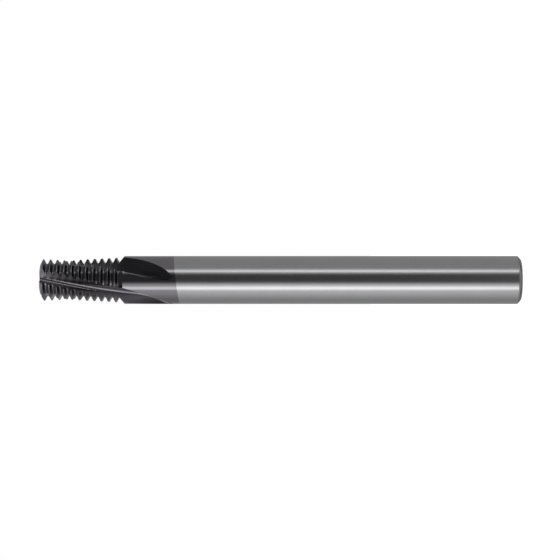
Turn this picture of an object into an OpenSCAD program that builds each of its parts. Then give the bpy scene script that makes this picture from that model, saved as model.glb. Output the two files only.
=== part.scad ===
// Solid carbide thread mill for taper pipe threads.
// One blank: a plain ground shank, a head of tapered tooth rings and
// right-hand helical flutes that run out on the shank.
// The part stands on its shank end with the cutting tip up (+Z).
// Lengths are in millimetres, angles in degrees.

/* [Shank] */
// Diameter of the ground shank
shank_d = 6; // [5.8:0.1:8]
// Length from the shank's end face to the tip
overall_length = 60; // [40:1:100]
// Length of the chamfer on the shank's end, along the axis
end_chamfer_length = 0.4; // [0.1:0.05:1]
// Depth of the chamfer on the shank's end, along the radius
end_chamfer_depth = 0.5; // [0.1:0.05:1]

/* [Teeth] */
// Axial distance between neighbouring tooth rings
tooth_pitch = 0.907; // [0.8:0.001:1.1]
// Number of tooth rings
tooth_count = 11; // [5:1:14]
// Angle between the two flanks of a tooth
flank_angle = 55; // [50:1:60]
// Radial height of a tooth, from root to crest
tooth_height = 0.58; // [0.4:0.01:0.62]
// Diameter over the crest of the first tooth ring
tip_crest_d = 5.26; // [5.1:0.01:5.4]
// Growth of the crest diameter per millimetre of length
tooth_taper = 0.0625; // [0:0.0025:0.07]
// Distance of the first crest from the tip's end face
first_crest_setback = 0.36; // [0.3:0.01:0.45]
// Angle of the shoulder's slope behind the last groove, from square to the axis
shoulder_angle = 40; // [25:1:50]
// Clearance angle by which a land falls away behind its cutting edge
relief_angle = 4.5; // [3:0.5:10]

/* [Flutes] */
// Number of flutes
flute_count = 4; // [3:1:5]
// Angle that a flute turns through per millimetre of length
flute_twist = 6; // [0:0.25:7]
// Angle of the first cutting edge at the tip
flute_start_angle = -6; // [-45:1:45]
// Radius of the solid core between the flutes
core_r = 1.55; // [1.2:0.05:1.8]
// Radius of the rounded gullet at the bottom of a flute
gullet_r = 0.45; // [0.2:0.05:0.6]
// Angle between a flute's cutting face and its heel wall
flute_angle = 76; // [65:1:85]
// Plain fluted length between the teeth and the start of the run-out
plain_flute_length = 0.95; // [0.5:0.05:4]
// Length over which a flute rises to the shank's surface
runout_length = 5.25; // [3:0.25:8]

/* [Hidden] */

$fn = 96;

// Flat steps of a rounded crest or root
rounding_steps = 2;
// Flat steps of a land, from ahead of its cutting edge to past its heel
land_steps = 6;
// Share of the turn from one cutting edge to the next that a land's steps cover
land_share = 0.62;
// Turn by which a land's steps start ahead of its cutting edge, inside the flute
land_lead = 5;
// Flat steps of the gullet's arc
gullet_steps = 6;
// Twist between neighbouring sections of a flute
section_twist = 4;
// Sections of the run-out
runout_steps = 10;
// How far a flute's sections reach past the tip and outside the shank
cut_margin = 1;
// Height that the run-out's end clears the shank by
exit_clearance = 0.05;
// How far the head and the shank reach into each other at the last root
join_overlap = 0.1;
// Turn from a flute's heel at the shoulder to the seam of the round shank
seam_lead = 9;

shank_r = shank_d / 2;
half_flank = flank_angle / 2;

// Radius that rounds crests and roots, and the height it takes off a sharp apex
sharp_height = tooth_pitch / (2 * tan(half_flank));
apex_ratio = 1 / sin(half_flank) - 1;
rounding_r = (sharp_height - tooth_height) / (2 * apex_ratio);
apex_loss = rounding_r * apex_ratio;

// Radius of the crest line and of the root line at a distance from the tip
function crest_line(s) = tip_crest_d / 2 + (s - first_crest_setback) * tooth_taper / 2;
function root_line(s) = crest_line(s) - tooth_height;

last_root = first_crest_setback + (tooth_count - 0.5) * tooth_pitch;
shoulder_rise = shank_r - root_line(last_root);
shoulder = last_root + join_overlap / 2 + shoulder_rise * tan(shoulder_angle);
tip_rim_r = tip_crest_d / 2 + apex_loss - first_crest_setback / tan(half_flank);
rounding_sweep = 90 - half_flank;
rounding_angles = [for (i = [0:rounding_steps]) rounding_sweep * (2 * i / rounding_steps - 1)];

// Points [distance from tip, radius] that round the crest or the root at s
function crest_points(s) = [for (a = rounding_angles)
    [s + rounding_r * sin(a), crest_line(s) - rounding_r * (1 - cos(a))]];
function root_points(s) = [for (a = rounding_angles)
    [s + rounding_r * sin(a), root_line(s) + rounding_r * (1 - cos(a))]];

tooth_outline = [for (i = [0:tooth_count - 1])
    let (s = first_crest_setback + i * tooth_pitch)
    each concat(crest_points(s), root_points(s + tooth_pitch / 2))];

// Stations [distance from tip, radius] of the head, ending inside the shoulder
head_outline = concat(
    [[0, tip_rim_r]],
    [for (p = tooth_outline) if (p[0] < last_root + join_overlap / 2) p],
    [[last_root + join_overlap, root_line(last_root)]]
);

// Half section of the shank and its shoulder, starting inside the head
shank_start = last_root - 2 * join_overlap;
shank_outline = [
    [shank_start, 0],
    [shank_start, shank_r - (shoulder - shank_start) / tan(shoulder_angle)],
    [shoulder, shank_r],
    [overall_length - end_chamfer_length, shank_r],
    [overall_length, shank_r - end_chamfer_depth],
    [overall_length, 0]
];

// Cutting edges turn with the flutes, and each land falls away behind its edge
land_turn = 360 / flute_count;
land_points = [for (i = [0:flute_count - 1], k = [0:land_steps])
    let (back = (land_share * land_turn + land_lead) * k / land_steps - land_lead)
    [-i * land_turn - back, 1 - tan(relief_angle) * back * PI / 180]];
function head_ring(station) = [for (p = land_points)
    let (a = flute_start_angle - flute_twist * station[0] + p[0], r = station[1] * p[1])
    [r * cos(a), r * sin(a), overall_length - station[0]]];

// Section of a flute with its cutting face along +X and its gullet touching the core
outer_reach = shank_r + cut_margin;
gullet_x = sqrt(pow(core_r + gullet_r, 2) - pow(gullet_r, 2));
gullet_sweep = 180 - flute_angle;
gullet_outline = [for (i = [0:gullet_steps])
    let (a = 270 - gullet_sweep * i / gullet_steps)
    [gullet_x + gullet_r * cos(a), gullet_r * (1 + sin(a))]];
heel_foot = gullet_outline[gullet_steps];
heel_run = [cos(flute_angle), sin(flute_angle)];
flute_section = concat([[outer_reach, 0]], gullet_outline, [heel_foot + outer_reach * heel_run]);

// The shank's seam lies on a land, clear of every flute
heel_rise = heel_foot * heel_run;
heel_reach = sqrt(pow(heel_rise, 2) - heel_foot * heel_foot + pow(shank_r, 2)) - heel_rise;
heel_point = heel_foot + heel_reach * heel_run;
heel_turn = atan2(heel_point.y, heel_point.x);
seam_angle = flute_start_angle - flute_twist * shoulder + heel_turn + seam_lead;

// Stations [distance from tip, twist, lift] of a flute's sections
runout_start = shoulder + plain_flute_length;
runout_lift = shank_r + exit_clearance - core_r;
straight_steps = max(4, ceil((runout_start + cut_margin) * flute_twist / section_twist));
straight_stations = [for (i = [0:straight_steps])
    let (s = -cut_margin + (runout_start + cut_margin) * i / straight_steps)
    [s, flute_twist * s, 0]];
runout_stations = [for (i = [1:runout_steps])
    let (share = i / runout_steps, along = runout_length * share)
    [
        runout_start + along,
        flute_twist * (runout_start + along * (1 - share / 2)),
        runout_lift * pow(share, 2)
    ]];
flute_stations = concat(straight_stations, runout_stations);

function turned(p, a) = [p.x * cos(a) - p.y * sin(a), p.x * sin(a) + p.y * cos(a)];
function placed_section(station) = [for (p = flute_section)
    let (q = turned([p.x + station[2], p.y], flute_start_angle - station[1]))
    [q.x, q.y, overall_length - station[0]]];

// Closed body through rings of points that run clockwise as seen from the tip
module ring_body(rings) {
    sides = len(rings[0]);
    last = len(rings) - 1;
    walls = [for (k = [0:last - 1], i = [0:sides - 1])
        let (a = k * sides + i, b = k * sides + (i + 1) % sides)
        each [[a, a + sides, b], [b, a + sides, b + sides]]];
    polyhedron(
        points = [for (ring = rings) each ring],
        faces = concat(
            [[for (i = [0:sides - 1]) i]],
            [[for (i = [sides - 1:-1:0]) last * sides + i]],
            walls
        )
    );
}

// Plain shank with its chamfered end and its shoulder
module shank() {
    rotate(seam_angle) rotate_extrude()
        polygon([for (p = shank_outline) [p[1], overall_length - p[0]]]);
}

// Head of tooth rings with relieved lands
module head() {
    ring_body([for (station = head_outline) head_ring(station)]);
}

// Space that one flute takes out of the blank
module flute_space() {
    sides = len(flute_section);
    last = len(flute_stations) - 1;
    near_cap = [for (i = [1:sides - 2]) [0, i, i + 1]];
    far_cap = [for (i = [1:sides - 2]) [last * sides, last * sides + i + 1, last * sides + i]];
    walls = [for (k = [0:last - 1], i = [0:sides - 1])
        let (a = k * sides + i, b = k * sides + (i + 1) % sides)
        each [[a, a + sides, b], [b, a + sides, b + sides]]];
    polyhedron(
        points = [for (station = flute_stations) each placed_section(station)],
        faces = concat(near_cap, far_cap, walls)
    );
}

// The whole tool, ground from one blank
module thread_mill() {
    color("dimgray")
        difference() {
            union() {
                shank();
                head();
            }
            for (i = [0:flute_count - 1])
                rotate(i * 360 / flute_count) flute_space();
        }
}

thread_mill();
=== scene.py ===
"""Studio scene of a solid carbide thread mill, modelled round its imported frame.

The tool is turned, fluted and edged in millimetres, as in a tool grinder's shop, and then brought
to metres. It stands on its shank end with the cutting tip up. The camera lies on its side, so the
picture shows the tool lying level with the tip to the left.
"""

import logging
import math
from dataclasses import dataclass, field
from enum import Enum, IntEnum
from typing import Any, Iterable, Optional, Sequence, Union

import bpy
from mathutils import Matrix, Vector


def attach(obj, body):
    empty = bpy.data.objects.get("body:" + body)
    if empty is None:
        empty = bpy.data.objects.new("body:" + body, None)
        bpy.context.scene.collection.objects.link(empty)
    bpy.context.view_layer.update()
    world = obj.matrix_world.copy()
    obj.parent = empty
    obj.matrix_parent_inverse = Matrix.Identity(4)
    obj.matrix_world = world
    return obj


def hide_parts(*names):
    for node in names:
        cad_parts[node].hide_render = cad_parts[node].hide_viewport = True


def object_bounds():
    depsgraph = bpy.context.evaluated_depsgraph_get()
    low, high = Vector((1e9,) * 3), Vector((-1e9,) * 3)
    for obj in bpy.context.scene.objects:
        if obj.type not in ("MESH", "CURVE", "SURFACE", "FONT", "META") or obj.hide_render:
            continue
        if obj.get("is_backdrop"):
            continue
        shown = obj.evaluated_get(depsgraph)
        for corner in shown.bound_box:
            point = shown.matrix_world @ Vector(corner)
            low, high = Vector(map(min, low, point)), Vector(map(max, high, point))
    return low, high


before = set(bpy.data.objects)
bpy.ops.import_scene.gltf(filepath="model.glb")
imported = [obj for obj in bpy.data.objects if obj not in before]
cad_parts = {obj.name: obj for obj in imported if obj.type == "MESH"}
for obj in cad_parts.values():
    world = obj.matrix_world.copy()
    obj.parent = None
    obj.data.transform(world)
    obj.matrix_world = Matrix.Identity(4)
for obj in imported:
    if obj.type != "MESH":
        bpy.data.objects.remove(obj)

LOG = logging.getLogger("thread_mill")
MM = 0.001
# Modelled points nearer than this, in millimetres, become one.
MERGE_GAP = 1e-4
NODE = "thread_mill"
BODY = "root"
WHITE = (1.0, 1.0, 1.0, 1.0)


class Surface(IntEnum):
    """The two kinds of ground surface, by material slot."""

    TURNED = 0
    FLUTED = 1


class MarkDirection(Enum):
    """Which way the grinding marks of a surface run."""

    ROUND_THE_AXIS = "round the axis"
    ALONG_THE_FLUTE = "along the flute"


class MathStep(Enum):
    """The Math node operations that the finishes and the light use."""

    ADD = "ADD"
    SUBTRACT = "SUBTRACT"
    MULTIPLY = "MULTIPLY"
    SINE = "SINE"
    COSINE = "COSINE"
    ARCTAN2 = "ARCTAN2"


Operand = Union["Signal", float]


class Signal:
    """A value that runs through a node tree. Arithmetic on it adds Math nodes."""

    def __init__(self, nodes: "NodeBench", socket: bpy.types.NodeSocket) -> None:
        """Wraps an output socket.

        Args:
            nodes: The bench that owns the tree.
            socket: The output that carries the value.
        """
        self.nodes = nodes
        self.socket = socket

    def _step(self, step: MathStep, *operands: Operand) -> "Signal":
        """Adds one Math node.

        Args:
            step: The operation.
            operands: Its inputs, in order.

        Returns:
            The node's result.
        """
        inputs = {i: operand for i, operand in enumerate(operands)}
        return self.nodes.add("ShaderNodeMath", {"operation": step.value}, inputs).out()

    def __add__(self, other: Operand) -> "Signal":
        """Returns self + other."""
        return self._step(MathStep.ADD, self, other)

    def __radd__(self, other: float) -> "Signal":
        """Returns other + self."""
        return self._step(MathStep.ADD, other, self)

    def __sub__(self, other: Operand) -> "Signal":
        """Returns self - other."""
        return self._step(MathStep.SUBTRACT, self, other)

    def __rsub__(self, other: float) -> "Signal":
        """Returns other - self."""
        return self._step(MathStep.SUBTRACT, other, self)

    def __mul__(self, other: Operand) -> "Signal":
        """Returns self * other."""
        return self._step(MathStep.MULTIPLY, self, other)

    def __rmul__(self, other: float) -> "Signal":
        """Returns other * self."""
        return self._step(MathStep.MULTIPLY, other, self)

    def sine(self) -> "Signal":
        """Returns the sine of an angle in radians."""
        return self._step(MathStep.SINE, self)

    def cosine(self) -> "Signal":
        """Returns the cosine of an angle in radians."""
        return self._step(MathStep.COSINE, self)

    def angle_to(self, across: "Signal") -> "Signal":
        """Returns the angle, in radians, whose tangent is self over across."""
        return self._step(MathStep.ARCTAN2, self, across)

    def rise(self, start: float, end: float) -> "Signal":
        """Blends from 0 at start to 1 at end.

        Args:
            start: The value that gives 0.
            end: The value that gives 1. It may be below start.

        Returns:
            A smooth step between 0 and 1.
        """
        limits = {"From Min": start, "From Max": end}
        settings = {"interpolation_type": "SMOOTHSTEP"}
        return self.nodes.add("ShaderNodeMapRange", settings, {"Value": self, **limits}).out()


class BenchNode:
    """A node on a bench, with short access to its outputs."""

    def __init__(self, nodes: "NodeBench", node: bpy.types.Node) -> None:
        """Keeps the node with its bench."""
        self.nodes = nodes
        self.node = node

    def out(self, name: Union[str, int] = 0) -> Signal:
        """Returns one of the node's outputs by name or place."""
        return Signal(self.nodes, self.node.outputs[name])


class NodeBench:
    """Builds the node tree of a material or of the surroundings."""

    def __init__(self, tree: bpy.types.NodeTree) -> None:
        """Takes over a tree and clears it.

        Args:
            tree: The tree to build in.
        """
        self.tree = tree
        tree.nodes.clear()

    def add(
        self,
        kind: str,
        settings: Optional[dict[str, Any]] = None,
        sockets: Optional[dict[Union[str, int], Any]] = None,
    ) -> BenchNode:
        """Adds a node, sets it and joins it up.

        Args:
            kind: The node's type.
            settings: Properties of the node, which are set first.
            sockets: Values or signals for its inputs, by name or place.

        Returns:
            The new node.
        """
        node = self.tree.nodes.new(kind)
        for name, value in (settings or {}).items():
            setattr(node, name, value)
        for name, value in (sockets or {}).items():
            if isinstance(value, Signal):
                self.tree.links.new(value.socket, node.inputs[name])
            else:
                node.inputs[name].default_value = value
        return BenchNode(self, node)

    def blend(self, factor: Signal, first: Sequence[float], second: Sequence[float]) -> Signal:
        """Mixes two colours.

        Args:
            factor: 0 gives the first colour and 1 the second.
            first: Linear red, green and blue.
            second: Linear red, green and blue.

        Returns:
            The mixed colour.
        """
        # A Mix node has sockets for numbers and vectors first: its colours are inputs 6 and 7.
        colours = {6: (*first, 1.0), 7: (*second, 1.0)}
        node = self.add("ShaderNodeMix", {"data_type": "RGBA"}, {0: factor, **colours})
        return node.out(2)


@dataclass(frozen=True)
class Helix:
    """The right-hand screw that the flutes and the cutting edges follow. Angles are in degrees."""

    start_angle: float = -6.0
    twist: float = 6.0

    def turn(self, distance: float) -> float:
        """Returns the turn from the tip to a distance from it, in millimetres."""
        return self.twist * distance


@dataclass(frozen=True)
class CarbideFinish:
    """Ground cemented carbide with a dark hard coating on the cutting head.

    Lengths are in metres. Colours are linear.
    """

    name: str
    marks: MarkDirection
    ground_colour: tuple[float, float, float] = (0.50, 0.50, 0.51)
    coat_colour: tuple[float, float, float] = (0.268, 0.258, 0.279)
    ground_roughness: float = 0.22
    coat_roughness: float = 0.12
    coat_edge: float = 42.92 * MM
    coat_tilt: float = 0.12
    coat_fade: float = 0.06 * MM
    mark_spacing: float = 0.05 * MM
    mark_length: float = 2.5 * MM
    mark_depth: float = 0.00004 * MM
    mark_detail: float = 2.0
    cloud_scale: float = 0.35 / MM
    cloud_detail: float = 3.0
    roughness_swing: float = 0.06
    tone_swing: float = 0.10
    flute_twist: float = math.radians(Helix.twist) / MM

    def material(self) -> bpy.types.Material:
        """Builds the finish as a material.

        Returns:
            The material.
        """
        material = bpy.data.materials.new(self.name)
        material.use_nodes = True
        nodes = NodeBench(material.node_tree)
        place = nodes.add("ShaderNodeTexCoord").out("Object")
        axes = nodes.add("ShaderNodeSeparateXYZ", sockets={0: place})
        x, y, z = axes.out("X"), axes.out("Y"), axes.out("Z")

        marks = self._marks(nodes, x, y, z)
        cloud = nodes.add(
            "ShaderNodeTexNoise",
            {"noise_dimensions": "3D"},
            {"Vector": place, "Scale": self.cloud_scale, "Detail": self.cloud_detail},
        ).out(0)

        edge = z - x * self.coat_tilt
        coated = edge.rise(self.coat_edge - self.coat_fade, self.coat_edge + self.coat_fade)
        # The marks and the cloud both swing about 0.5.
        tone = 1.0 + (marks + cloud - 1.0) * self.tone_swing
        base = nodes.blend(coated, self.ground_colour, self.coat_colour)
        shaded = nodes.add(
            "ShaderNodeVectorMath", {"operation": "SCALE"}, {0: base, "Scale": tone}
        ).out(0)
        step = self.coat_roughness - self.ground_roughness
        roughness = self.ground_roughness + coated * step + (marks - 0.5) * self.roughness_swing
        bump = nodes.add(
            "ShaderNodeBump", sockets={"Strength": 1.0, "Distance": self.mark_depth, "Height": marks}
        ).out(0)
        skin = nodes.add(
            "ShaderNodeBsdfPrincipled",
            sockets={"Base Color": shaded, "Metallic": 1.0, "Roughness": roughness, "Normal": bump},
        ).out(0)
        nodes.add("ShaderNodeOutputMaterial", sockets={"Surface": skin})
        return material

    def _marks(self, nodes: NodeBench, x: Signal, y: Signal, z: Signal) -> Signal:
        """Makes the grinding marks.

        Args:
            nodes: The material's bench.
            x: Place across the tool.
            y: Place across the tool, towards the back.
            z: Place along the tool.

        Returns:
            The height of the marks, from 0 to 1.
        """
        fine = 1.0 / self.mark_spacing
        coarse = 1.0 / self.mark_length
        if self.marks is MarkDirection.ROUND_THE_AXIS:
            spot = {"X": x * coarse, "Y": y * coarse, "Z": z * fine}
        else:
            turn = z * self.flute_twist
            across = x * turn.cosine() + y * turn.sine()
            along = y * turn.cosine() - x * turn.sine()
            spot = {"X": across * fine, "Y": along * fine, "Z": z * coarse}
        vector = nodes.add("ShaderNodeCombineXYZ", sockets=spot).out(0)
        return nodes.add(
            "ShaderNodeTexNoise",
            {"noise_dimensions": "3D"},
            {"Vector": vector, "Scale": 1.0, "Detail": self.mark_detail},
        ).out(0)


class Modeller:
    """Short names for the hand operations that shape a mesh."""

    @staticmethod
    def single_point(name: str, place: Vector) -> bpy.types.Object:
        """Adds a mesh of one point and leaves it selected in edit mode.

        Args:
            name: The object's name.
            place: Where the point goes.

        Returns:
            The new object.
        """
        bpy.ops.object.select_all(action="DESELECT")
        bpy.ops.mesh.primitive_plane_add(size=1.0)
        piece = bpy.context.active_object
        piece.name = name
        bpy.ops.object.mode_set(mode="EDIT")
        bpy.ops.mesh.select_all(action="SELECT")
        bpy.ops.mesh.merge(type="CENTER")
        bpy.ops.transform.translate(value=place)
        return piece

    @staticmethod
    def draw(points: Sequence[Vector]) -> None:
        """Extrudes the selected point along a line of points.

        Args:
            points: The line, whose first point is the selected one.
        """
        for here, there in zip(points, points[1:]):
            bpy.ops.mesh.extrude_region_move(TRANSFORM_OT_translate={"value": there - here})

    @staticmethod
    def fill() -> None:
        """Closes a drawn outline with a face and leaves it selected."""
        bpy.ops.mesh.select_all(action="SELECT")
        bpy.ops.mesh.edge_face_add()

    @staticmethod
    def sweep_on(down: float, turn: float) -> None:
        """Extrudes the selected end of a piece down the axis and turns it.

        Args:
            down: How far it goes towards the shank's end.
            turn: How far it turns about the axis, in degrees, clockwise seen from the tip.
        """
        bpy.ops.mesh.extrude_region_move(TRANSFORM_OT_translate={"value": (0.0, 0.0, -down)})
        # With no window, this operator turns clockwise for a positive value.
        bpy.ops.transform.rotate(
            value=math.radians(turn), orient_axis="Z", center_override=(0.0, 0.0, 0.0)
        )

    @staticmethod
    def close_up() -> None:
        """Merges doubled points, turns the faces outwards and leaves edit mode."""
        bpy.ops.mesh.select_all(action="SELECT")
        bpy.ops.mesh.remove_doubles(threshold=MERGE_GAP)
        bpy.ops.mesh.normals_make_consistent(inside=False)
        bpy.ops.object.mode_set(mode="OBJECT")

    @staticmethod
    def only(piece: bpy.types.Object) -> None:
        """Makes a piece the only selected one, and the active one.

        Args:
            piece: The piece to work on.
        """
        bpy.ops.object.select_all(action="DESELECT")
        piece.select_set(True)
        bpy.context.view_layer.objects.active = piece


@dataclass
class ToothForm:
    """The section of the tooth rings, which grow from the tip to a shoulder on the shank.

    Lengths are in millimetres and angles in degrees. Distances run from the tip.
    """

    shank_radius: float
    pitch: float = 0.907
    count: int = 11
    flank_angle: float = 55.0
    height: float = 0.58
    tip_crest_radius: float = 2.63
    taper: float = 0.0625
    first_crest_setback: float = 0.36
    shoulder_angle: float = 40.0
    rounding_steps: int = 6
    join_overlap: float = 0.1
    half_flank: float = field(init=False)
    shoulder_slope: float = field(init=False)
    rounding: float = field(init=False)
    apex_loss: float = field(init=False)
    last_root: float = field(init=False)
    shoulder: float = field(init=False)

    def __post_init__(self) -> None:
        """Works out the rounding of the teeth and the place of the shoulder."""
        self.half_flank = math.radians(self.flank_angle / 2)
        sharp_height = self.pitch / (2 * math.tan(self.half_flank))
        apex_ratio = 1 / math.sin(self.half_flank) - 1
        self.rounding = (sharp_height - self.height) / (2 * apex_ratio)
        self.apex_loss = self.rounding * apex_ratio
        self.last_root = self.first_crest_setback + (self.count - 0.5) * self.pitch
        rise = self.shank_radius - self.root_radius(self.last_root)
        self.shoulder_slope = math.tan(math.radians(self.shoulder_angle))
        self.shoulder = self.last_root + self.join_overlap / 2 + rise * self.shoulder_slope

    def crest_radius(self, distance: float) -> float:
        """Returns the radius of the crest line at a distance from the tip."""
        return self.tip_crest_radius + (distance - self.first_crest_setback) * self.taper / 2

    def root_radius(self, distance: float) -> float:
        """Returns the radius of the root line at a distance from the tip."""
        return self.crest_radius(distance) - self.height

    def _rounded(self, distance: float, radius: float, side: float) -> Iterable[tuple[float, float]]:
        """Rounds a crest or a root.

        Args:
            distance: Its distance from the tip.
            radius: Its radius.
            side: 1 on a crest and -1 in a root.

        Yields:
            Points as distance and radius.
        """
        sweep = math.pi / 2 - self.half_flank
        for i in range(self.rounding_steps + 1):
            angle = sweep * (2 * i / self.rounding_steps - 1)
            drop = self.rounding * (1 - math.cos(angle))
            yield distance + self.rounding * math.sin(angle), radius - side * drop

    def head_path(self) -> list[tuple[float, float]]:
        """Draws the teeth from the tip's rim to just inside the shoulder.

        Returns:
            Points as distance and radius.
        """
        rim = self.tip_crest_radius + self.apex_loss
        rim -= self.first_crest_setback / math.tan(self.half_flank)
        path = [(0.0, rim)]
        for i in range(self.count):
            crest = self.first_crest_setback + i * self.pitch
            root = crest + self.pitch / 2
            path.extend(self._rounded(crest, self.crest_radius(crest), 1.0))
            path.extend(self._rounded(root, self.root_radius(root), -1.0))
        inside = [point for point in path if point[0] < self.last_root + MERGE_GAP]
        return [*inside, (self.last_root + self.join_overlap, self.root_radius(self.last_root))]

    def shoulder_path(self) -> list[tuple[float, float]]:
        """Draws the shoulder's cone from inside the head to the shank's surface.

        Returns:
            Points as distance and radius, from the axis outwards.
        """
        start = self.last_root - 2 * self.join_overlap
        inner = self.shank_radius - (self.shoulder - start) / self.shoulder_slope
        return [(start, 0.0), (start, inner), (self.shoulder, self.shank_radius)]


@dataclass
class ToothedHead:
    """The head of tooth rings, whose lands fall away behind their cutting edges.

    Lengths are in millimetres and angles in degrees. Distances run from the tip.
    """

    form: ToothForm
    helix: Helix
    tool_length: float
    land_count: int
    relief_angle: float = 4.5
    land_share: float = 0.62
    land_lead: float = 5.0
    land_steps: int = 24

    def ring(self, radius: float) -> list[Vector]:
        """Draws the head's outline at the tip, seen along the axis.

        Args:
            radius: The radius at the cutting edges.

        Returns:
            Points in the tip's plane, land after land.
        """
        between = 360.0 / self.land_count
        covered = self.land_share * between + self.land_lead
        slope = math.tan(math.radians(self.relief_angle))
        points = []
        for i in range(self.land_count):
            for k in range(self.land_steps + 1):
                behind = covered * k / self.land_steps - self.land_lead
                angle = math.radians(self.helix.start_angle - i * between - behind)
                reach = radius * (1.0 - slope * math.radians(behind))
                across = Vector((math.cos(angle), math.sin(angle), 0.0)) * reach
                points.append(across + Vector((0.0, 0.0, self.tool_length)))
        return points

    def build(self) -> bpy.types.Object:
        """Sweeps the ring along the teeth, growing and shrinking it as it turns.

        Returns:
            The head.
        """
        path = self.form.head_path()
        points = self.ring(path[0][1])
        head = Modeller.single_point("toothed_head", points[0])
        Modeller.draw(points)
        Modeller.fill()
        for before, after in zip(path, path[1:]):
            self._advance(before, after)
        Modeller.close_up()
        LOG.info("toothed_head: %d rings", len(path))
        return head

    def _advance(self, before: tuple[float, float], after: tuple[float, float]) -> None:
        """Extrudes the selected end of the head to the next point of the teeth.

        Args:
            before: The distance and radius that the end is at.
            after: The distance and radius that it goes to.
        """
        growth = after[1] / before[1]
        turn = self.helix.turn(after[0]) - self.helix.turn(before[0])
        Modeller.sweep_on(after[0] - before[0], turn)
        bpy.ops.transform.resize(value=(growth, growth, 1.0), center_override=(0.0, 0.0, 0.0))


@dataclass
class Shank:
    """The plain ground shank with its shoulder and its chamfered end.

    Lengths are in millimetres. Distances run from the tip.
    """

    form: ToothForm
    radius: float
    tool_length: float
    end_chamfer_length: float = 0.4
    end_chamfer_depth: float = 0.5
    end_rounding: float = 0.12
    rounding_steps: int = 6
    band_length: float = 0.45
    banded_length: float = 8.0
    spin_steps: int = 240

    def outline(self) -> list[Vector]:
        """Draws half the section of the shank.

        Returns:
            Points in the XZ plane, from the axis inside the head to the centre of the end face.
        """
        path = self.form.shoulder_path()
        bands = round(self.banded_length / self.band_length)
        for i in range(1, bands + 1):
            path.append((self.form.shoulder + i * self.band_length, self.radius))
        path.extend(self._end_chamfer())
        path.append((self.tool_length, 0.0))
        return [Vector((radius, 0.0, self.tool_length - distance)) for distance, radius in path]

    def _end_chamfer(self) -> list[tuple[float, float]]:
        """Draws the chamfer on the shank's end, with its two corners eased.

        Returns:
            Points as distance and radius.
        """
        start = Vector((self.tool_length - self.end_chamfer_length, self.radius))
        end = Vector((self.tool_length, self.radius - self.end_chamfer_depth))
        slope = (end - start).normalized()
        along, inward = Vector((1.0, 0.0)), Vector((0.0, -1.0))
        points = []
        for corner, before, after in ((start, along, slope), (end, slope, inward)):
            first = corner - before * self.end_rounding
            last = corner + after * self.end_rounding
            for i in range(self.rounding_steps + 1):
                t = i / self.rounding_steps
                bend = first * (1 - t) ** 2 + corner * (2 * t * (1 - t)) + last * t**2
                points.append((bend.x, bend.y))
        return points

    def build(self) -> bpy.types.Object:
        """Spins the outline into a solid.

        Returns:
            The shank.
        """
        points = self.outline()
        shank = Modeller.single_point("shank", points[0])
        Modeller.draw(points)
        bpy.ops.mesh.select_all(action="SELECT")
        bpy.ops.mesh.spin(
            steps=self.spin_steps, angle=math.tau, center=(0, 0, 0), axis=(0, 0, 1)
        )
        Modeller.close_up()
        LOG.info("shank: %d points in the outline", len(points))
        return shank


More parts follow.
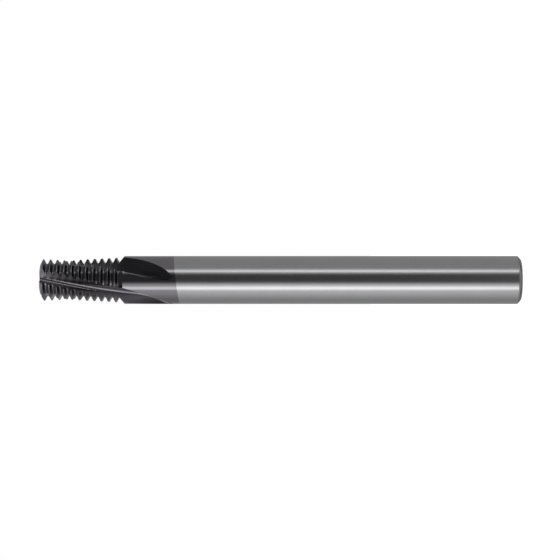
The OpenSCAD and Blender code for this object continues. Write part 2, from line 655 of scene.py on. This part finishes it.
@dataclass
class FluteWheel:
    """The space that a grinding wheel takes out of the blank along one flute.

    Lengths are in millimetres and angles in degrees. Distances run from the tip.
    """

    helix: Helix
    tool_length: float
    shank_radius: float
    shoulder: float
    core_radius: float = 1.55
    gullet_radius: float = 0.45
    opening_angle: float = 76.0
    plain_length: float = 0.95
    runout_length: float = 5.25
    margin: float = 1.0
    exit_clearance: float = 0.05
    gullet_steps: int = 14
    straight_steps: int = 60
    runout_steps: int = 28

    def section(self) -> list[Vector]:
        """Draws the section with its cutting face along +X.

        Returns:
            Points in the XY plane, from the outer end of the cutting face to the heel wall's.
        """
        reach = self.shank_radius + self.margin
        wheel = self.core_radius + self.gullet_radius
        middle = math.sqrt(wheel**2 - self.gullet_radius**2)
        points = [Vector((reach, 0.0, 0.0))]
        straight_down = 270.0
        sweep = 180.0 - self.opening_angle
        for i in range(self.gullet_steps + 1):
            angle = math.radians(straight_down - sweep * i / self.gullet_steps)
            across = middle + self.gullet_radius * math.cos(angle)
            points.append(Vector((across, self.gullet_radius * (1 + math.sin(angle)), 0.0)))
        lean = math.radians(self.opening_angle)
        points.append(points[-1] + reach * Vector((math.cos(lean), math.sin(lean), 0.0)))
        return points

    def stations(self) -> list[tuple[float, float, float]]:
        """Plans the wheel's path.

        Returns:
            Distance from the tip, turn in degrees and lift, for each step of the path.
        """
        start = self.shoulder + self.plain_length
        span = start + self.margin
        path = []
        for i in range(self.straight_steps + 1):
            distance = span * i / self.straight_steps - self.margin
            path.append((distance, self.helix.turn(distance), 0.0))
        rise = self.shank_radius + self.exit_clearance - self.core_radius
        for i in range(1, self.runout_steps + 1):
            share = i / self.runout_steps
            along = self.runout_length * share
            turn = self.helix.turn(start + along * (1 - share / 2))
            path.append((start + along, turn, rise * share**2))
        return path

    def _spot(self, point: Vector, station: tuple[float, float, float]) -> Vector:
        """Places a point of the section at a station of the path.

        Args:
            point: The point, in the section's plane.
            station: The station's distance, turn and lift.

        Returns:
            Where the point goes.
        """
        distance, turn, lift = station
        angle = math.radians(self.helix.start_angle - turn)
        moved = Matrix.Rotation(angle, 3, "Z") @ Vector((point.x + lift, point.y, 0.0))
        return Vector((moved.x, moved.y, self.tool_length - distance))

    def build(self) -> bpy.types.Object:
        """Sweeps the section along the path, one extrusion for each step.

        Returns:
            The space of the first flute.
        """
        section = self.section()
        path = self.stations()
        points = [self._spot(point, path[0]) for point in section]
        space = Modeller.single_point("flute_space", points[0])
        Modeller.draw(points)
        Modeller.fill()
        for before, after in zip(path, path[1:]):
            self._advance(before, after)
        Modeller.close_up()
        LOG.info("flute_space: %d steps", len(path))
        return space

    def _advance(
        self, before: tuple[float, float, float], after: tuple[float, float, float]
    ) -> None:
        """Extrudes the selected end of the space by one step of the path.

        Args:
            before: The station that the end is at.
            after: The station that it goes to.
        """
        angle = math.radians(self.helix.start_angle - after[1])
        lift = (after[2] - before[2]) * Vector((math.cos(angle), math.sin(angle), 0.0))
        Modeller.sweep_on(after[0] - before[0], after[1] - before[1])
        bpy.ops.transform.translate(value=lift)


@dataclass
class ThreadMill:
    """The whole tool: a shank and a toothed head with flutes ground into them."""

    shank_radius: float
    length: float
    flute_count: int = 4
    smooth_angle: float = math.radians(32)
    helix: Helix = Helix()
    shank: Shank = field(init=False)
    head: ToothedHead = field(init=False)
    wheel: FluteWheel = field(init=False)

    def __post_init__(self) -> None:
        """Sets up the pieces from the tool's main sizes."""
        form = ToothForm(self.shank_radius)
        self.shank = Shank(form, self.shank_radius, self.length)
        self.head = ToothedHead(form, self.helix, self.length, self.flute_count)
        self.wheel = FluteWheel(self.helix, self.length, self.shank_radius, form.shoulder)

    def build(self) -> bpy.types.Object:
        """Models the tool and dresses it.

        Returns:
            The finished piece, in metres.
        """
        tool = self.shank.build()
        head = self.head.build()
        spaces = self._flute_spaces()
        self._mark(tool, Surface.TURNED)
        self._mark(head, Surface.TURNED)
        self._mark(spaces, Surface.FLUTED)
        self._combine(tool, head, "UNION")
        self._combine(tool, spaces, "DIFFERENCE")
        self._to_metres(tool)
        self._dress(tool)
        return tool

    def _flute_spaces(self) -> bpy.types.Object:
        """Makes the spaces of all the flutes.

        Returns:
            One object that holds them.
        """
        first = self.wheel.build()
        copies = [first]
        for i in range(1, self.flute_count):
            Modeller.only(first)
            bpy.ops.object.duplicate()
            copy = bpy.context.active_object
            copy.rotation_euler.z = math.tau * i / self.flute_count
            bpy.ops.object.transform_apply(location=False, rotation=True, scale=False)
            copies.append(copy)
        Modeller.only(first)
        for copy in copies:
            copy.select_set(True)
        bpy.ops.object.join()
        return first

    def _mark(self, piece: bpy.types.Object, surface: Surface) -> None:
        """Gives a piece the tool's material slots, with all its faces in one of them.

        Args:
            piece: The shank, the head or the flute spaces.
            surface: The surface that its faces become.
        """
        for _ in Surface:
            piece.data.materials.append(None)
        for face in piece.data.polygons:
            face.material_index = surface

    def _combine(self, tool: bpy.types.Object, piece: bpy.types.Object, operation: str) -> None:
        """Joins a piece to the tool, or takes it out of it.

        Args:
            tool: The tool as it is so far.
            piece: The other solid, which is used up.
            operation: The boolean operation.
        """
        Modeller.only(tool)
        step = tool.modifiers.new(piece.name, "BOOLEAN")
        step.operation = operation
        step.solver = "EXACT"
        step.object = piece
        bpy.ops.object.modifier_apply(modifier=step.name)
        LOG.info("%s of %s: %d faces", operation.lower(), piece.name, len(tool.data.polygons))
        bpy.data.objects.remove(piece)

    def _to_metres(self, tool: bpy.types.Object) -> None:
        """Brings the tool from millimetres to metres.

        Args:
            tool: The finished mesh.
        """
        Modeller.only(tool)
        tool.scale = (MM, MM, MM)
        bpy.ops.object.transform_apply(location=False, rotation=False, scale=True)

    def _dress(self, tool: bpy.types.Object) -> None:
        """Smooths the tool, gives it its finishes and puts it in the frame.

        Args:
            tool: The finished mesh.
        """
        finishes = {
            Surface.TURNED: CarbideFinish("turned_carbide", MarkDirection.ROUND_THE_AXIS),
            Surface.FLUTED: CarbideFinish(
                "fluted_carbide",
                MarkDirection.ALONG_THE_FLUTE,
                coat_colour=(0.235, 0.226, 0.245),
                coat_roughness=0.25,
            ),
        }
        for surface, finish in finishes.items():
            tool.material_slots[surface].material = finish.material()
        tool.name = "carbide_mill"
        Modeller.only(tool)
        bpy.ops.object.shade_smooth_by_angle(angle=self.smooth_angle)
        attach(tool, BODY)
        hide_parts(NODE)


@dataclass(frozen=True)
class LightRing:
    """A level ring of light in the surroundings.

    Heights are sines of the angle above the level: 1 is straight over the tool's tip. A limit
    beyond 1 or -1 leaves that side of the ring open.
    """

    bottom: float
    bottom_full: float
    top_full: float
    top: float
    brightness: float = 1.0

    def glow(self, height: Signal) -> Signal:
        """Gives the ring's light.

        Args:
            height: The direction's height.

        Returns:
            What the ring adds in that direction.
        """
        rising = height.rise(self.bottom, self.bottom_full)
        return rising * height.rise(self.top, self.top_full) * self.brightness


# How high the lamps reach at the shank's end and behind the tip.
END_REACH = LightRing(-1.2, -1.1, -0.74, -0.60)
BACK_REACH = LightRing(0.40, 0.55, 0.82, 0.92)


@dataclass(frozen=True)
class LightBand:
    """An upright band of light or shade in the surroundings.

    Angles are in degrees round the tool, 0 towards the camera and positive towards the
    picture's top. A limit beyond 180 or -180 leaves that side of the band open.
    """

    start: float
    end: float
    start_fade: float
    end_fade: float
    brightness: float
    reach: LightRing

    def glow(self, angle: Signal, height: Signal) -> Signal:
        """Gives the band's light.

        Args:
            angle: The direction, in radians.
            height: The direction's height.

        Returns:
            What the band adds in that direction.
        """
        opening = self._edge(angle, self.start, self.start_fade / 2)
        closing = self._edge(angle, self.end, -self.end_fade / 2)
        return opening * closing * self.reach.glow(height) * self.brightness

    def _edge(self, angle: Signal, place: float, half_fade: float) -> Signal:
        """Returns the soft edge at a place, 0 outside the band and 1 inside it."""
        return angle.rise(math.radians(place - half_fade), math.radians(place + half_fade))


@dataclass
class Studio:
    """A white studio: pale floor, light all round and the camera.

    Lengths are in metres. The rings lie level round the upright tool. A band or a lamp is upper
    or lower as the picture shows it, where the tool lies on its side.
    """

    camera_distance: float = 0.23
    camera_height: float = 0.026
    aim_height: float = 0.030055
    view_angle: float = math.radians(17.323)
    sensor_width: float = 36.0
    clip_start: float = 0.01
    floor_size: float = 1.2
    floor_tone: float = 0.9
    floor_roughness: float = 0.8
    floor_glow: float = 0.95
    walls: LightRing = LightRing(-0.36, -0.20, 0.14, 0.40, 0.36)
    ceiling: LightRing = LightRing(0.14, 0.40, 1.1, 1.2, 0.04)
    skirting: LightRing = LightRing(-0.95, -0.65, -0.36, -0.20, 0.24)
    underside: LightRing = LightRing(-1.2, -1.1, -0.92, -0.78, 0.26)
    dark_front: LightBand = LightBand(
        -12.0, 30.4, 8.0, 8.0, -0.298, LightRing(-0.31, -0.18, 0.14, 0.40)
    )
    upper_strip: LightBand = LightBand(
        38.8, 47.9, 8.0, 14.0, 1.5, LightRing(-0.36, -0.20, 0.11, 0.20)
    )
    lower_screen: LightBand = LightBand(
        -78.1, -19.8, 78.0, 8.0, 0.515, LightRing(-0.36, -0.20, 0.20, 0.50)
    )
    lower_strip: LightBand = LightBand(
        -46.7, -32.8, 10.0, 11.8, 1.2, LightRing(-0.36, -0.20, 0.23, 0.60)
    )
    upper_end_lamp: LightBand = LightBand(60.0, 95.0, 30.0, 30.0, 0.7, END_REACH)
    lower_end_lamp: LightBand = LightBand(-105.0, -60.0, 40.0, 30.0, 0.5, END_REACH)
    upper_back_lamp: LightBand = LightBand(130.0, 200.0, 40.0, 10.0, 0.6, BACK_REACH)
    lower_back_lamp: LightBand = LightBand(-200.0, -130.0, 10.0, 40.0, 0.6, BACK_REACH)

    def build(self) -> None:
        """Sets up the floor, the surroundings and the camera."""
        self._floor()
        self._surroundings()
        self._camera()
        bpy.context.scene.view_settings.view_transform = "Standard"

    def _floor(self) -> None:
        """Lays a pale floor that the tool stands on."""
        bpy.ops.object.select_all(action="DESELECT")
        bpy.ops.mesh.primitive_plane_add(size=self.floor_size)
        floor = bpy.context.active_object
        floor.name = "floor"
        floor.visible_glossy = False
        material = bpy.data.materials.new("pale_floor")
        material.use_nodes = True
        nodes = NodeBench(material.node_tree)
        tone = self.floor_tone
        paint = {
            "Base Color": (tone, tone, tone, 1.0),
            "Roughness": self.floor_roughness,
            "Emission Color": WHITE,
            "Emission Strength": self.floor_glow,
        }
        skin = nodes.add("ShaderNodeBsdfPrincipled", sockets=paint).out(0)
        nodes.add("ShaderNodeOutputMaterial", sockets={"Surface": skin})
        floor.data.materials.append(material)
        floor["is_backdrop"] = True

    def _surroundings(self) -> None:
        """Lights the tool from rings and bands all round it. The camera sees plain white."""
        world = bpy.data.worlds.new("studio")
        world.use_nodes = True
        bpy.context.scene.world = world
        nodes = NodeBench(world.node_tree)
        direction = nodes.add("ShaderNodeTexCoord").out("Generated")
        axes = nodes.add("ShaderNodeSeparateXYZ", sockets={0: direction})
        angle = axes.out("X").angle_to(axes.out("Y") * -1.0)
        level = self._level(angle, axes.out("Z"))
        lit = nodes.add("ShaderNodeBackground", sockets={"Color": WHITE, "Strength": level}).out(0)
        plain = nodes.add("ShaderNodeBackground", sockets={"Color": WHITE, "Strength": 1.0}).out(0)
        seen = nodes.add("ShaderNodeLightPath").out("Is Camera Ray")
        both = nodes.add("ShaderNodeMixShader", sockets={0: seen, 1: lit, 2: plain}).out(0)
        nodes.add("ShaderNodeOutputWorld", sockets={"Surface": both})

    def _level(self, angle: Signal, height: Signal) -> Signal:
        """Adds up the light of the surroundings.

        Args:
            angle: The direction round the tool, in radians.
            height: The direction's height.

        Returns:
            The brightness in that direction.
        """
        rings = (self.ceiling, self.skirting, self.underside)
        strips = (self.dark_front, self.upper_strip, self.lower_screen, self.lower_strip)
        end_lamps = (self.upper_end_lamp, self.lower_end_lamp)
        back_lamps = (self.upper_back_lamp, self.lower_back_lamp)
        level = self.walls.glow(height)
        for ring in rings:
            level = level + ring.glow(height)
        for band in (*strips, *end_lamps, *back_lamps):
            level = level + band.glow(angle, height)
        return level

    def _camera(self) -> None:
        """Places the camera on its side, with the tip to the picture's left."""
        lens = bpy.data.cameras.new("camera")
        lens.sensor_width = self.sensor_width
        lens.lens = self.sensor_width / (2 * math.tan(self.view_angle / 2))
        lens.clip_start = self.clip_start
        camera = bpy.data.objects.new("camera", lens)
        bpy.context.scene.collection.objects.link(camera)
        place = Vector((0.0, -self.camera_distance, self.camera_height))
        back = (place - Vector((0.0, 0.0, self.aim_height))).normalized()
        up = Vector((1.0, 0.0, 0.0))
        right = up.cross(back)
        turn = Matrix((right, up, back)).transposed().to_4x4()
        camera.matrix_world = Matrix.Translation(place) @ turn
        bpy.context.scene.camera = camera


def corners(box: Iterable[Iterable[float]]) -> list[list[float]]:
    """Returns a box's corners as plain lists."""
    return [[float(value) for value in corner] for corner in box]


def main() -> None:
    """Builds the tool and its studio."""
    logging.basicConfig(level=logging.INFO, format="%(name)s: %(message)s")
    cad_box = corners(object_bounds())
    low, high = cad_box
    tool = ThreadMill(shank_radius=(high[0] - low[0]) / 2 / MM, length=(high[2] - low[2]) / MM)
    piece = tool.build()
    LOG.info("%s: %d faces", piece.name, len(piece.data.polygons))
    Studio().build()


if __name__ == "__main__":
    main()
